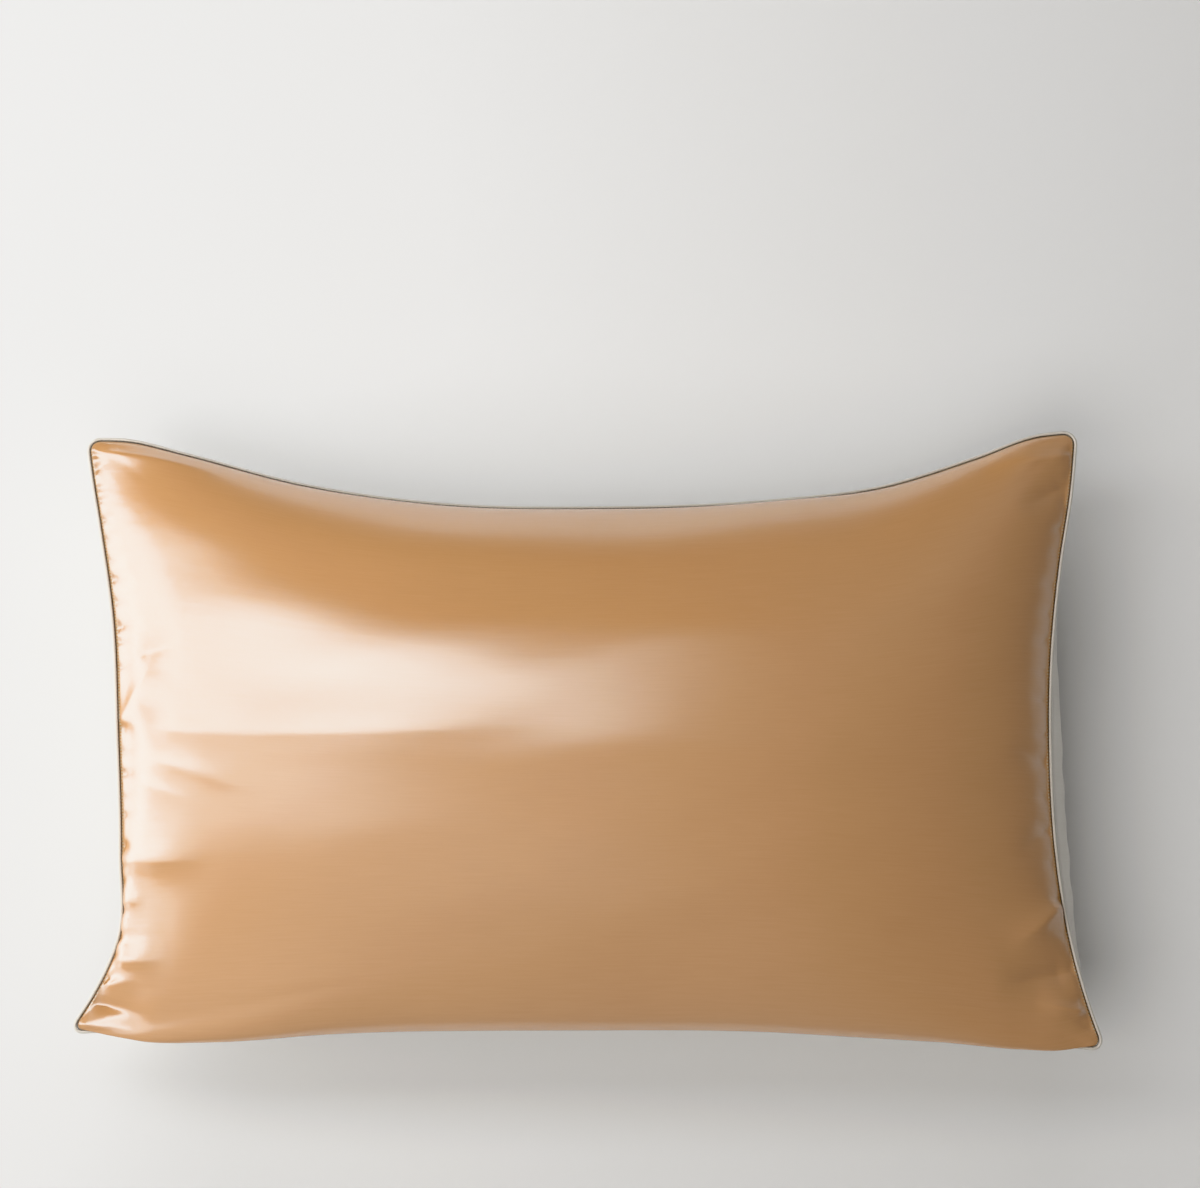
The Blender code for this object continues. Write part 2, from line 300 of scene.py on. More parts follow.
def rounded(u, v, edge):
    """The square -1..1 drawn in by edge, with its corners brought to quarter circles."""
    radius = CORNER_RADIUS - edge
    x = np.abs(u) * (HALF_LENGTH - edge)
    y = np.abs(v) * (HALF_WIDTH - edge)
    start_x = HALF_LENGTH - CORNER_RADIUS
    start_y = HALF_WIDTH - CORNER_RADIUS
    p = (x - start_x) / radius
    q = (y - start_y) / radius
    corner = (p > 0) & (q > 0)
    round_p = p * np.sqrt(np.clip(1 - q**2 / 2, 0, 1))
    round_q = q * np.sqrt(np.clip(1 - p**2 / 2, 0, 1))
    x = np.where(corner, start_x + radius * round_p, x)
    y = np.where(corner, start_y + radius * round_q, y)
    return np.sign(u) * x / HALF_LENGTH, np.sign(v) * y / HALF_WIDTH


def side_point(first, last, table, share, inward):
    inset = smooth_value(table, share)
    start = np.array(CORNERS[first])
    end = np.array(CORNERS[last])
    line = start + share[..., None] * (end - start)
    return line + inset[..., None] * np.array(inward)


# How far the pillow is moved in the XY plane to lie where the frame has it.
place_in_frame = np.zeros(2)


def outline_point(u, v, edge):
    """Place in the XY plane of a point of a panel, between its four drawn-in sides."""
    u, v = rounded(u, v, edge)
    along = (u + 1) / 2
    across = (v + 1) / 2
    low = side_point("low_left", "low_right", LOW_SIDE, along, (0, 1))
    high = side_point("high_left", "high_right", HIGH_SIDE, along, (0, -1))
    left = side_point("low_left", "high_left", LEFT_SIDE, across, (1, 0))
    right = side_point("low_right", "high_right", RIGHT_SIDE, across, (-1, 0))
    a = along[..., None]
    b = across[..., None]
    corners = (
        (1 - a) * (1 - b) * np.array(CORNERS["low_left"])
        + a * (1 - b) * np.array(CORNERS["low_right"])
        + (1 - a) * b * np.array(CORNERS["high_left"])
        + a * b * np.array(CORNERS["high_right"])
    )
    surface = (1 - b) * low + b * high + (1 - a) * left + a * right - corners
    return surface + place_in_frame


def crown_share(u, v):
    lengthways = np.clip(1 - np.abs(u) ** FULLNESS, 0, 1)
    crossways = np.clip(1 - np.abs(v) ** FULLNESS, 0, 1)
    return np.sqrt(lengthways * crossways)


def swell(distance, reach):
    return distance / reach * np.exp(1 - distance / reach)


def seam_height(u, v):
    lift = smooth_value(RIGHT_LIFT, (v + 1) / 2)
    return SEAM_HEIGHT + lift * np.clip(u, 0, 1) ** 6


def edge_points(u, v, edge):
    plan = outline_point(u, v, edge[0])
    return np.concatenate([plan, (seam_height(u, v) + edge[1])[..., None]], axis=-1)


def front_points(u, v):
    """The front as the filling holds it, before its creases."""
    points = edge_points(u, v, FRONT_EDGE)
    points[..., 2] += CROWN * crown_share(u, v)
    points[..., 1] -= smooth_value(BELLY_FRONT, (u + 1) / 2) * swell(1 + v, BELLY_REACH)
    return points


def back_points(u, v):
    """Outside of the back panel, which lies flat on the floor under the crown."""
    points = edge_points(u, v, BACK_EDGE)
    share = np.clip(1 - crown_share(u, v) / FLAT_FROM, 0, 1)
    points[..., 2] *= share**BACK_EASE
    points[..., 1] -= smooth_value(BELLY_BACK, (u + 1) / 2) * swell(1 + v, BELLY_REACH)
    points[..., 0] += smooth_value(RIGHT_BACK, (v + 1) / 2) * swell(1 - u, RIGHT_REACH)
    return points


def soft_step(value, low, high):
    part = np.clip((value - low) / (high - low), 0, 1)
    return part * part * (3 - 2 * part)


def settle_ends(points, u, v):
    """Lets the front rise gently from its short seams, and sag a little over the left one."""
    fullness = np.sqrt(np.clip(1 - np.abs(u) ** FULLNESS, 1e-9, 1))
    gentle = np.sqrt(fullness**2 + END_SOFTNESS**2) - END_SOFTNESS
    gentle /= (math.sqrt(1 + END_SOFTNESS**2) - END_SOFTNESS) * fullness
    seam = seam_height(u, v) + FRONT_EDGE[1]
    settled = points.copy()
    settled[:, 2] = seam + (points[:, 2] - seam) * gentle
    settled[:, 0] -= smooth_value(LEFT_LOBE, (v + 1) / 2) * swell(1 + u, LOBE_REACH)
    return settled


def seam_distance(u, v):
    return np.minimum((1 - np.abs(u)) * HALF_LENGTH, (1 - np.abs(v)) * HALF_WIDTH)


def fold_height(points):
    """Total height of the folds at each point: ridges and troughs with a rounded crest line."""
    x, y = points[..., 0], points[..., 1]
    total = np.zeros_like(x)
    for start_x, start_y, end_x, end_y, bow, left_width, right_width, height in FOLDS:
        length = math.hypot(end_x - start_x, end_y - start_y)
        ahead_x, ahead_y = (end_x - start_x) / length, (end_y - start_y) / length
        along = ((x - start_x) * ahead_x + (y - start_y) * ahead_y) / length
        across = (y - start_y) * ahead_x - (x - start_x) * ahead_y
        across = across - bow * 4 * along * (1 - along)
        inside = np.clip(along, 0, 1)
        width = np.where(across > 0, left_width, right_width) * (0.8 + 0.7 * inside)
        crest = np.exp(-1.3 * (np.sqrt((across / width) ** 2 + 0.06) - 0.245))
        window = soft_step(along, -0.12, 0.18) * (1 - soft_step(along, 0.35, 1.08))
        total += height * crest * window
    return total


def gather_height(u, v):
    """Depth of the small gathers along the two short sides, deepest at the seam; both callers fade it
    out on the seam itself.
    """
    total = np.zeros_like(u)
    for gathers, inward in ((LEFT_GATHERS, 1 + u), (RIGHT_GATHERS, 1 - u)):
        distance = inward * HALF_LENGTH
        for place, half_width, length, depth, slope in gathers:
            across = (v - place) * HALF_WIDTH - slope * distance
            spread_width = half_width * (1 + 0.5 * distance / length)
            reach = np.exp(-distance / length)
            total -= depth * reach * np.exp(-((across / spread_width) ** 2))
    return total


def ripple_height(u, v):
    """The faint unevenness of soft cloth over a filling, longest across the middle."""
    x, y = u * HALF_LENGTH, v * HALF_WIDTH
    total = 0.00030 * np.sin(61 * y + 9 * x + 1.2) * np.sin(13 * x - 7 * y + 0.4)
    total += 0.00022 * np.sin(97 * y - 21 * x + 2.6) * np.sin(19 * x + 11 * y + 1.9)
    total += 0.00035 * np.sin(23 * x + 17 * y + 0.7) * np.sin(31 * y - 9 * x + 2.1)
    return total


def pucker_wave(run):
    """An uneven wave along a seam, between about -1 and 1, with no two puckers alike."""
    wave = np.sin(run * 251 + 1.1) + 0.8 * np.sin(run * 167 + 2.3) + 0.6 * np.sin(run * 97 + 0.4)
    return wave * (0.7 + 0.3 * np.sin(run * 23 + 0.9)) / 2.4


def back_height(u, v):
    """Puckers of the back panel along its seams, pulls from its corners, and faint ripples."""
    depth, length = BACK_PUCKERS
    from_end, from_side = (1 - np.abs(u)) * HALF_LENGTH, (1 - np.abs(v)) * HALF_WIDTH
    x, y = u * HALF_LENGTH, v * HALF_WIDTH
    total = depth * pucker_wave(y + 0.11 * np.sign(u)) * swell(from_end, length)
    total += 0.55 * depth * pucker_wave(x + 0.23 * np.sign(v)) * swell(from_side, length * 0.8)
    height, reach = CORNER_PULLS
    distance = np.hypot(from_end, from_side)
    turn = np.arctan2(from_side, from_end)
    pulls = np.sin(turn * 11 + 1.3 * np.sign(u) + 2.1 * np.sign(v)) * np.sin(2 * turn)
    total += height * pulls * swell(distance, reach)
    return total * soft_step(np.minimum(from_end, from_side), 0.0004, 0.006) + ripple_height(u, v)


# ---------------------------------------------------------------- small mesh tools
def deselect():
    bpy.ops.object.select_all(action="DESELECT")


def spread(line, even):
    """Places -1..1 on even lines, brought closer together towards both ends."""
    return even * line + (1 - even) * np.sin(line * math.pi / 2)


def add_panel(name, cells):
    """A cut panel as a flat grid of cells, with its own UV map, and its u and v from -1 to 1."""
    deselect()
    bpy.ops.mesh.primitive_grid_add(x_subdivisions=cells[0], y_subdivisions=cells[1], size=2)
    panel = bpy.context.object
    panel.name = name
    places = read_points(panel)
    return panel, places[:, 0], places[:, 1]


def read_points(piece):
    places = np.empty(len(piece.data.vertices) * 3)
    piece.data.vertices.foreach_get("co", places)
    return places.reshape(-1, 3)


def write_points(piece, places):
    piece.data.vertices.foreach_set("co", np.asarray(places, np.float32).ravel())
    piece.data.update()


def select_only(piece):
    deselect()
    piece.select_set(True)
    bpy.context.view_layer.objects.active = piece


def apply_modifiers(piece):
    select_only(piece)
    for modifier in list(piece.modifiers):
        bpy.ops.object.modifier_apply(modifier=modifier.name)


def vertex_normals(piece):
    normals = np.empty(len(piece.data.vertices) * 3)
    piece.data.vertices.foreach_get("normal", normals)
    return normals.reshape(-1, 3)


# ---------------------------------------------------------------- camera
# The photo's frame, its scale at the seam, and its view of the face: 8 degrees below square on.
FRAME_WIDTH = 1200
METRES_PER_PIXEL = 0.711e-3
CAMERA_DISTANCE = 2.2
CAMERA_ELEVATION = 82
CAMERA_AIM = Vector((0.0086, 0.1018, 0.085))
SENSOR_WIDTH = 36

scene = bpy.context.scene
camera_data = bpy.data.cameras.new("camera")
camera = bpy.data.objects.new("camera", camera_data)
scene.collection.objects.link(camera)
scene.camera = camera
tilt = math.radians(CAMERA_ELEVATION)
towards_camera = Vector((0, -math.cos(tilt), math.sin(tilt)))
camera.location = CAMERA_AIM + towards_camera * CAMERA_DISTANCE
camera.rotation_mode = "QUATERNION"
camera.rotation_quaternion = (-towards_camera).to_track_quat("-Z", "Y")
camera_data.sensor_width = SENSOR_WIDTH
camera_data.lens = SENSOR_WIDTH * CAMERA_DISTANCE / METRES_PER_PIXEL / FRAME_WIDTH


# ---------------------------------------------------------------- materials
def new_group(name, inputs, outputs):
    """An empty shader group with its inputs (name, kind, value) and outputs (name, kind)."""
    group = bpy.data.node_groups.new(name, "ShaderNodeTree")
    for label, kind, value in inputs:
        socket = group.interface.new_socket(label, in_out="INPUT", socket_type=kind)
        if value is not None:
            socket.default_value = value
    for label, kind in outputs:
        group.interface.new_socket(label, in_out="OUTPUT", socket_type=kind)
    taken = group.nodes.new("NodeGroupInput")
    given = group.nodes.new("NodeGroupOutput")
    return group, taken.outputs, given.inputs


class Wiring:
    """Short words for the nodes of one tree."""

    def __init__(self, tree):
        self.nodes = tree.nodes
        self.links = tree.links

    def feed(self, socket, value):
        if isinstance(value, bpy.types.NodeSocket):
            self.links.new(value, socket)
        else:
            socket.default_value = value

    def math(self, operation, first, second=0.0, third=0.0, clamp=False):
        node = self.nodes.new("ShaderNodeMath")
        node.operation = operation
        node.use_clamp = clamp
        self.feed(node.inputs[0], first)
        self.feed(node.inputs[1], second)
        self.feed(node.inputs[2], third)
        return node.outputs[0]

    def ranged(self, value, low, high, to_low=0.0, to_high=1.0):
        node = self.nodes.new("ShaderNodeMapRange")
        node.interpolation_type = "SMOOTHSTEP"
        self.feed(node.inputs["Value"], value)
        self.feed(node.inputs["From Min"], low)
        self.feed(node.inputs["From Max"], high)
        self.feed(node.inputs["To Min"], to_low)
        self.feed(node.inputs["To Max"], to_high)
        return node.outputs["Result"]

    def stretched(self, place, scale, turn=0.0):
        node = self.nodes.new("ShaderNodeMapping")
        self.feed(node.inputs["Vector"], place)
        node.inputs["Scale"].default_value = scale
        node.inputs["Rotation"].default_value = (0, 0, turn)
        return node.outputs["Vector"]

    def noise(self, place, scale, detail=2.0, turn=0.0):
        node = self.nodes.new("ShaderNodeTexNoise")
        node.noise_dimensions = "3D"
        self.feed(node.inputs["Vector"], self.stretched(place, scale, turn))
        node.inputs["Scale"].default_value = 1.0
        node.inputs["Detail"].default_value = detail
        node.inputs["Roughness"].default_value = 0.55
        return node.outputs["Fac"]

    def mixed(self, share, first, second):
        node = self.nodes.new("ShaderNodeMix")
        node.data_type = "RGBA"
        self.feed(node.inputs["Factor"], share)
        self.feed(node.inputs[6], first)
        self.feed(node.inputs[7], second)
        return node.outputs[2]

    def parts(self, place):
        node = self.nodes.new("ShaderNodeSeparateXYZ")
        self.feed(node.inputs[0], place)
        return node.outputs[0], node.outputs[1]

    def placed(self, group, **values):
        node = self.nodes.new("ShaderNodeGroup")
        node.node_tree = group
        for label, value in values.items():
            self.feed(node.inputs[label.replace("_", " ")], value)
        return node.outputs


def build_satin_weave():
    """Satin: long glossy floats with their tie-down points, streaks, slubs and soft clouding.

    Cloth Place is in metres on the cut cloth, and Height is in metres too. Drawn Threads is how
    high the broader threads stand.
    """
    group, taken, given = new_group(
        "satin_weave",
        [
            ("Cloth Place", "NodeSocketVector", None),
            ("Colour", "NodeSocketColor", (0.6, 0.35, 0.16, 1)),
            ("Deep Colour", "NodeSocketColor", (0.5, 0.26, 0.1, 1)),
            ("Roughness", "NodeSocketFloat", 0.35),
            ("Clouding", "NodeSocketFloat", 0.5),
            ("Drawn Threads", "NodeSocketFloat", 0.00004),
        ],
        [
            ("Colour", "NodeSocketColor"),
            ("Roughness", "NodeSocketFloat"),
            ("Height", "NodeSocketFloat"),
        ],
    )
    wire = Wiring(group)
    place = taken["Cloth Place"]
    floats = group.nodes.new("ShaderNodeTexBrick")
    floats.offset = 0.4
    floats.offset_frequency = 2
    wire.feed(floats.inputs["Vector"], place)
    floats.inputs["Color1"].default_value = (1, 1, 1, 1)
    floats.inputs["Color2"].default_value = (0.75, 0.75, 0.75, 1)
    floats.inputs["Mortar"].default_value = (0, 0, 0, 1)
    floats.inputs["Scale"].default_value = 1.0
    floats.inputs["Mortar Size"].default_value = TIE_WIDTH
    floats.inputs["Mortar Smooth"].default_value = 0.8
    floats.inputs["Brick Width"].default_value = FLOAT_LENGTH
    floats.inputs["Row Height"].default_value = FLOAT_PITCH
    ties = floats.outputs["Fac"]
    streaks = wire.noise(place, (28, 900, 1), 2.0)
    slubs = wire.ranged(wire.noise(place, (9, 260, 1), 0.0), 0.45, 0.95)
    clouds = wire.noise(place, (7, 9, 1), 3.0)
    uneven = wire.math("SUBTRACT", streaks, 0.5)
    cloudy = wire.math("SUBTRACT", clouds, 0.5)
    share = wire.math("MULTIPLY_ADD", uneven, 0.55, 0.24)
    share = wire.math("ADD", share, wire.math("MULTIPLY", cloudy, taken["Clouding"]))
    share = wire.math("ADD", share, wire.math("MULTIPLY", ties, 0.16), clamp=True)
    wire.feed(given["Colour"], wire.mixed(share, taken["Colour"], taken["Deep Colour"]))
    rough = wire.math("ADD", taken["Roughness"], wire.math("MULTIPLY", uneven, 0.10))
    rough = wire.math("ADD", rough, wire.math("MULTIPLY", cloudy, 0.09))
    rough = wire.math("SUBTRACT", rough, wire.math("MULTIPLY", slubs, 0.02))
    wire.feed(given["Roughness"], rough)
    height = wire.math("MULTIPLY", wire.math("SUBTRACT", 1.0, ties), 0.000006)
    height = wire.math("ADD", height, wire.math("MULTIPLY", streaks, 0.000008))
    height = wire.math("ADD", height, wire.math("MULTIPLY", slubs, 0.000006))
    drawn = wire.noise(place, (11, 120, 1), 2.0)
    height = wire.math("ADD", height, wire.math("MULTIPLY", drawn, taken["Drawn Threads"]))
    wire.feed(given["Height"], height)
    return group


def build_seam_ditch():
    """Beside a seam: a mask for painted shade in the ditch, the seam's stitches, and fine pulls."""
    group, taken, given = new_group(
        "seam_ditch",
        [
            ("Cloth Place", "NodeSocketVector", None),
            ("Half Length", "NodeSocketFloat", CUT[0] / 2),
            ("Half Width", "NodeSocketFloat", CUT[1] / 2),
            ("Ditch Width", "NodeSocketFloat", 0.0005),
        ],
        [
            ("Ditch Shade", "NodeSocketFloat"),
            ("Stitches", "NodeSocketFloat"),
            ("Height", "NodeSocketFloat"),
        ],
    )
    wire = Wiring(group)
    place = taken["Cloth Place"]
    along_length, along_width = wire.parts(place)
    from_end = wire.math("SUBTRACT", taken["Half Length"], wire.math("ABSOLUTE", along_length))
    from_side = wire.math("SUBTRACT", taken["Half Width"], wire.math("ABSOLUTE", along_width))
    nearest = wire.math("MINIMUM", from_end, from_side)
    # Painted shade: full in the ditch at the seam, fading out a little way in.
    ditch = wire.math("SUBTRACT", 1.0, wire.ranged(nearest, 0.0, taken["Ditch Width"]))
    wire.feed(given["Ditch Shade"], ditch)
    at_end = wire.math("LESS_THAN", from_end, from_side)
    run = wire.math("MULTIPLY", along_width, at_end)
    at_side = wire.math("SUBTRACT", 1.0, at_end)
    run = wire.math("ADD", run, wire.math("MULTIPLY", along_length, at_side))
    phase = wire.math("FRACT", wire.math("MULTIPLY", run, 1 / STITCH_LENGTH))
    dash = wire.math("MULTIPLY", wire.ranged(phase, 0.05, 0.15), wire.ranged(phase, 0.75, 0.65))
    near = wire.ranged(nearest, 0.0002, 0.0005)
    far = wire.ranged(nearest, 0.0011, 0.0008)
    row = wire.math("MULTIPLY", near, far)
    wire.feed(given["Stitches"], wire.math("MULTIPLY", dash, row))
    end_pulls = wire.noise(place, (30, 95, 1), 2.0)
    side_pulls = wire.noise(place, (120, 16, 1), 2.0)
    near_end = wire.math("EXPONENT", wire.math("MULTIPLY", from_end, -1 / 0.028))
    near_side = wire.math("EXPONENT", wire.math("MULTIPLY", from_side, -1 / 0.012))
    pulls = wire.math("MULTIPLY", wire.math("MULTIPLY", end_pulls, near_end), 0.0004)
    edge_pulls = wire.math("MULTIPLY", wire.math("MULTIPLY", side_pulls, near_side), 0.0004)
    wire.feed(given["Height"], wire.math("ADD", pulls, edge_pulls))
    return group


satin_weave = build_satin_weave()
seam_ditch = build_seam_ditch()


def new_material(name):
    material = bpy.data.materials.new(name)
    material.use_nodes = True
    wire = Wiring(material.node_tree)
    shader = material.node_tree.nodes["Principled BSDF"]
    return material, wire, shader


def cloth_place(wire):
    node = wire.nodes.new("ShaderNodeUVMap")
    node.uv_map = "UVMap"
    return node.outputs["UV"]


def raise_surface(wire, shader, height):
    bump = wire.nodes.new("ShaderNodeBump")
    bump.inputs["Strength"].default_value = 1.0
    bump.inputs["Distance"].default_value = 1.0
    wire.feed(bump.inputs["Height"], height)
    wire.feed(shader.inputs["Normal"], bump.outputs["Normal"])


def build_panel_satin(name, colour, deep, ditch_shade_colour, thread_colour, roughness):
    material, wire, shader = new_material(name)
    place = cloth_place(wire)
    weave = wire.placed(
        satin_weave,
        Cloth_Place=place,
        Colour=(*colour, 1),
        Deep_Colour=(*deep, 1),
        Roughness=roughness,
        Clouding=0.5,
    )
    seam = wire.placed(seam_ditch, Cloth_Place=place)
    # Painted shade: the cloth is darkened in the ditch beside the cord, with the stitches over it.
    cloth = wire.mixed(seam["Ditch Shade"], weave["Colour"], (*ditch_shade_colour, 1))
    cloth = wire.mixed(seam["Stitches"], cloth, (*thread_colour, 1))
    wire.feed(shader.inputs["Base Color"], cloth)
    dull_ditch = wire.math("MULTIPLY", seam["Ditch Shade"], 0.6)
    rough = wire.math("ADD", weave["Roughness"], dull_ditch, clamp=True)
    wire.feed(shader.inputs["Roughness"], rough)
    raise_surface(wire, shader, wire.math("ADD", weave["Height"], seam["Height"]))
    return material, shader


def build_piping_satin():
    """Bias strip over the cord: its threads run slantwise, and it puckers a little as it turns."""
    material, wire, shader = new_material("piping_satin")
    place = cloth_place(wire)
    weave = wire.placed(
        satin_weave,
        Cloth_Place=wire.stretched(place, (1, 1, 1), math.radians(45)),
        Colour=(0.60, 0.565, 0.505, 1),
        Deep_Colour=(0.44, 0.405, 0.355, 1),
        Roughness=0.30,
        Clouding=0.8,
    )
    twist = wire.noise(place, (330, 150, 1), 1.0, math.radians(32))
    along, around = wire.parts(place)
    # Painted shade: the cord's inner side, where it meets the panels, is darkened, less so at each
    # stitch.
    from_inside = wire.math("ABSOLUTE", around)
    inner = wire.math("SUBTRACT", 1.0, wire.ranged(from_inside, 0.0003, 0.0010))
    phase = wire.math("FRACT", wire.math("MULTIPLY", along, 1 / STITCH_LENGTH))
    dash = wire.math("MULTIPLY", wire.ranged(phase, 0.05, 0.2), wire.ranged(phase, 0.8, 0.6))
    shaded = wire.math("MULTIPLY", inner, wire.math("MULTIPLY_ADD", dash, -0.45, 0.5))
    colour = wire.mixed(shaded, weave["Colour"], (0.07, 0.04, 0.02, 1))
    wire.feed(shader.inputs["Base Color"], colour)
    wire.feed(shader.inputs["Roughness"], weave["Roughness"])
    raised = wire.math("ADD", weave["Height"], wire.math("MULTIPLY", twist, 0.00035))
    raise_surface(wire, shader, raised)
    shader.inputs["IOR"].default_value = 1.7
    return material


def build_floor_paint():
    material, wire, shader = new_material("floor_paint")
    coordinates = wire.nodes.new("ShaderNodeTexCoord").outputs["Object"]
    clouds = wire.noise(coordinates, (1.3, 1.3, 1.3), 3.0)
    grain = wire.noise(coordinates, (900, 900, 900), 2.0)
    paint = wire.mixed(clouds, (0.73, 0.73, 0.725, 1), (0.70, 0.70, 0.69, 1))
    wire.feed(shader.inputs["Base Color"], paint)
    wire.feed(shader.inputs["Roughness"], wire.ranged(clouds, 0.3, 0.7, 0.55, 0.68))
    raise_surface(wire, shader, wire.math("MULTIPLY", grain, 0.00002))
    return material


gold_satin, gold_shader = build_panel_satin(
    "gold_satin",
    colour=(0.580, 0.315, 0.138),
    deep=(0.500, 0.252, 0.098),
    ditch_shade_colour=(0.10, 0.045, 0.02),
    thread_colour=(0.62, 0.50, 0.33),
    roughness=0.18,
)
gold_shader.inputs["IOR"].default_value = 2.7
gold_shader.inputs["Specular Tint"].default_value = (0.80, 0.94, 1.0, 1)
gold_shader.inputs["Sheen Weight"].default_value = 0.10
gold_shader.inputs["Sheen Roughness"].default_value = 0.4
back_satin, back_shader = build_panel_satin(
    "back_satin",
    colour=(0.80, 0.775, 0.72),
    deep=(0.71, 0.68, 0.62),
    ditch_shade_colour=(0.25, 0.22, 0.18),
    thread_colour=(0.80, 0.78, 0.72),
    roughness=0.36,
)
back_shader.inputs["IOR"].default_value = 1.7
piping_satin = build_piping_satin()
floor_paint = build_floor_paint()


# ---------------------------------------------------------------- pieces
def rim_places(count):
    """u and v of evenly spread places round the seam, anticlockwise."""
    side = np.linspace(0, 1, count, endpoint=False)
    up = spread(side * 2 - 1, 0.5)
    u = np.concatenate([up, np.ones(count), -up, -np.ones(count)])
    v = np.concatenate([-np.ones(count), up, np.ones(count), -up])
    return u, v


def set_place_in_frame():
    """Lays the middle of the seam where the frame has the middle of its piping."""
    low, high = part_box("piping")
    route = edge_points(*rim_places(SEAM_STEPS), (0.0, 0.0))
    own = (route.min(axis=0) + route.max(axis=0)) / 2
    place_in_frame[:] = (low[0] + high[0]) / 2 - own[0], (low[1] + high[1]) / 2 - own[1]


def write_cloth_map(panel, u, v):
    """UV map of the panel in metres on its cut cloth."""
    corners = np.empty(len(panel.data.loops), np.int64)
    panel.data.loops.foreach_get("vertex_index", corners)
    flat = np.stack([u[corners] * CUT[0] / 2, v[corners] * CUT[1] / 2], axis=1)
    panel.data.uv_layers.active.data.foreach_set("uv", flat.astype(np.float32).ravel())


def read_cloth_map(panel):
    """u and v of every vertex, from the UV map."""
    corners = np.empty(len(panel.data.loops), np.int64)
    panel.data.loops.foreach_get("vertex_index", corners)
    flat = np.empty(len(panel.data.loops) * 2)
    panel.data.uv_layers.active.data.foreach_get("uv", flat)
    places = np.zeros((len(panel.data.vertices), 2))
    places[corners] = flat.reshape(-1, 2)
    u = np.clip(places[:, 0] * 2 / CUT[0], -1, 1)
    v = np.clip(places[:, 1] * 2 / CUT[1], -1, 1)
    return u, v


def simulate_front(panel, u, v, start):
    """Blows the cut panel up inside its pinned seam, so that the drawn-in sides gather."""
    flat = np.zeros_like(start)
    flat[:, 0] = u * CUT[0] / 2
    flat[:, 1] = v * CUT[1] / 2
    write_points(panel, start)
    panel.shape_key_add(name="Basis")
    rest = panel.shape_key_add(name="cut")
    rest.data.foreach_set("co", np.asarray(flat, np.float32).ravel())
    rest.value = 0
    seam = panel.vertex_groups.new(name="seam")
    on_seam = np.flatnonzero((np.abs(u) > 1 - 1e-5) | (np.abs(v) > 1 - 1e-5))
    seam.add([int(index) for index in on_seam], 1.0, "REPLACE")
    cloth = panel.modifiers.new("cloth", "CLOTH")
    settings = cloth.settings
    settings.quality = 6
    settings.mass = 0.12
    settings.tension_stiffness = 20
    settings.compression_stiffness = 20
    settings.shear_stiffness = 5
    settings.bending_stiffness = 0.02
    settings.tension_damping = 5
    settings.compression_damping = 5
    settings.shear_damping = 5
    settings.bending_damping = 0.5
    settings.air_damping = 2
    settings.use_pressure = True
    settings.uniform_pressure_force = 3
    settings.vertex_group_mass = "seam"
    settings.pin_stiffness = 1
    settings.rest_shape_key = rest
    settings.effector_weights.gravity = 0
    cloth.collision_settings.use_collision = False
    cloth.collision_settings.use_self_collision = False
    cloth.point_cache.frame_start = 1
    cloth.point_cache.frame_end = SIM_FRAMES
    scene.frame_start, scene.frame_end = 1, SIM_FRAMES
    for step in range(1, SIM_FRAMES + 1):
        scene.frame_set(step)
    graph = bpy.context.evaluated_depsgraph_get()
    settled = panel.evaluated_get(graph).to_mesh()
    places = np.empty(len(settled.vertices) * 3)
    settled.vertices.foreach_get("co", places)
    panel.evaluated_get(graph).to_mesh_clear()
    panel.modifiers.clear()
    panel.shape_key_clear()
    panel.vertex_groups.clear()
    scene.frame_set(1)
    write_points(panel, calm_creases(places.reshape(-1, 3), start, u, v))


def calm_creases(settled, start, u, v):
    """The settled form with only a part of its creases, more of them by the short seams."""
    order = np.lexsort((np.round(u, 6), np.round(v, 6)))
    change = (settled - start)[order].reshape(FRONT_CELLS[1] + 1, FRONT_CELLS[0] + 1, 3)
    broad = change.copy()
    for _ in range(SMOOTHING_ROUNDS):
        middle = broad[:-2, 1:-1] + broad[2:, 1:-1] + broad[1:-1, :-2] + broad[1:-1, 2:]
        broad[1:-1, 1:-1] = middle / 4
    kept = np.empty_like(settled)
    kept[order] = broad.reshape(-1, 3)
    by_seam = np.exp(-(((1 - np.abs(u)) * HALF_LENGTH / CREASE_REACH) ** 2))
    share = (CREASES_KEPT + CREASES_BY_SEAM * by_seam)[:, None]
    return start + kept + share * (settled - start - kept)


def inner_back_points(u, v):
    """The back's form drawn inwards, for the underside of the filled front."""
    step = 0.004
    along = back_points(u + step, v) - back_points(u - step, v)
    across = back_points(u, v + step) - back_points(u, v - step)
    inward = np.cross(along, across)
    inward /= np.maximum(np.linalg.norm(inward, axis=-1, keepdims=True), 1e-12)
    return back_points(u, v) + inward * UNDERSIDE_GAP


